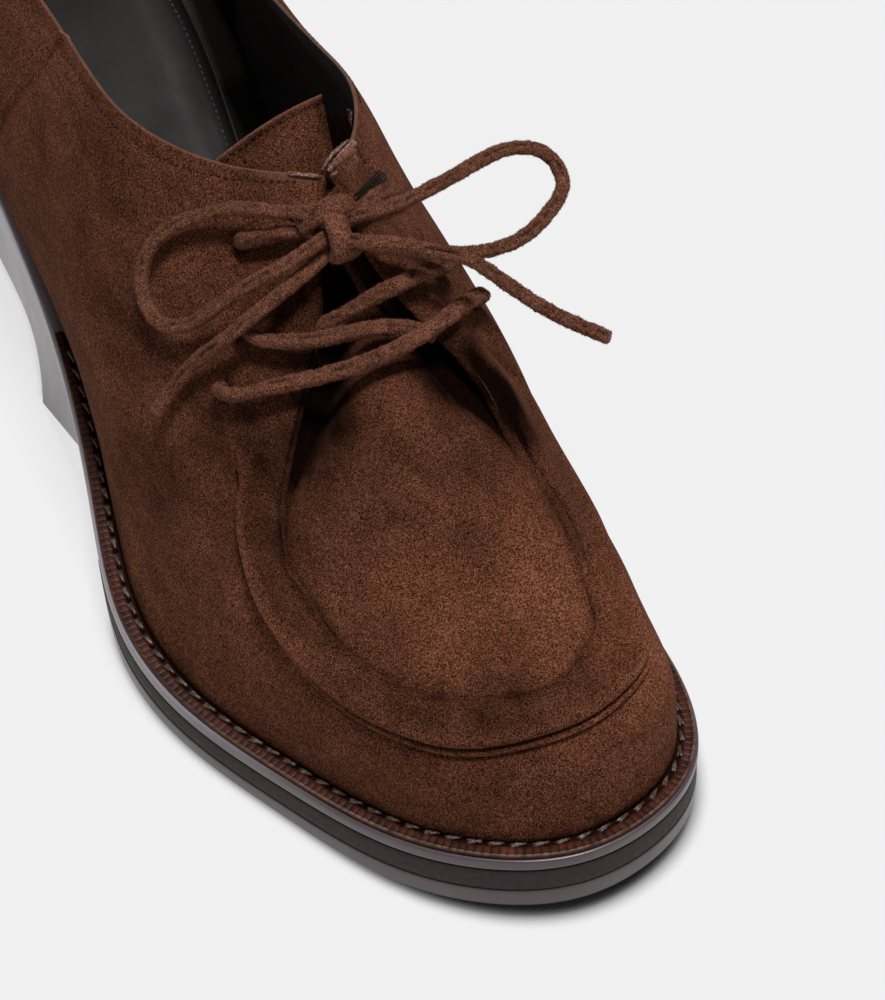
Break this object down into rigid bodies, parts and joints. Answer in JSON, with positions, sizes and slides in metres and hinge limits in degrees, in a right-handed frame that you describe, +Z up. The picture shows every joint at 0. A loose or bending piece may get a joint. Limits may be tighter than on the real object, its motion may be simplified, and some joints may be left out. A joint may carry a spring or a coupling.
{
  "type": "heeled moccasin-toe lace-up shoe",
  "caption": "Right heeled lace-up shoe with a moccasin toe: hollow suede upper with a raised apron band, tongue, bowed lace, welted platform sole and a slanted block heel.",
  "frame": {"origin": "on the floor, at the middle of the shoe's box without the bow", "axes": "+X to the toe, +Y to the inner side of the foot, +Z up"},
  "size_m": [0.255, 0.1014, 0.11],
  "materials": {
    "suede": "brushed suede",
    "lacquer": "glossy lacquer",
    "dark_rubber": "satin",
    "welt_leather": "waxed",
    "lining": "smooth",
    "lace_suede": "suede"
  },
  "bodies": {
    "root": {"outsole": "lacquer", "midsole": "dark_rubber", "sole_runner": "lacquer", "heel": "lacquer", "welt": "welt_leather", "insole": "lining", "upper": "suede", "tongue": "suede", "lace_bar_low": "lace_suede", "lace_bar_mid": "lace_suede", "lace_bar_top": "lace_suede", "lace_tie_left": "lace_suede", "lace_tie_right": "lace_suede", "lace_knot": "lace_suede", "lace_loop_left": "lace_suede", "lace_loop_right": "lace_suede", "lace_end_left": "lace_suede", "lace_end_right": "lace_suede"}
  },
  "joints": []
}
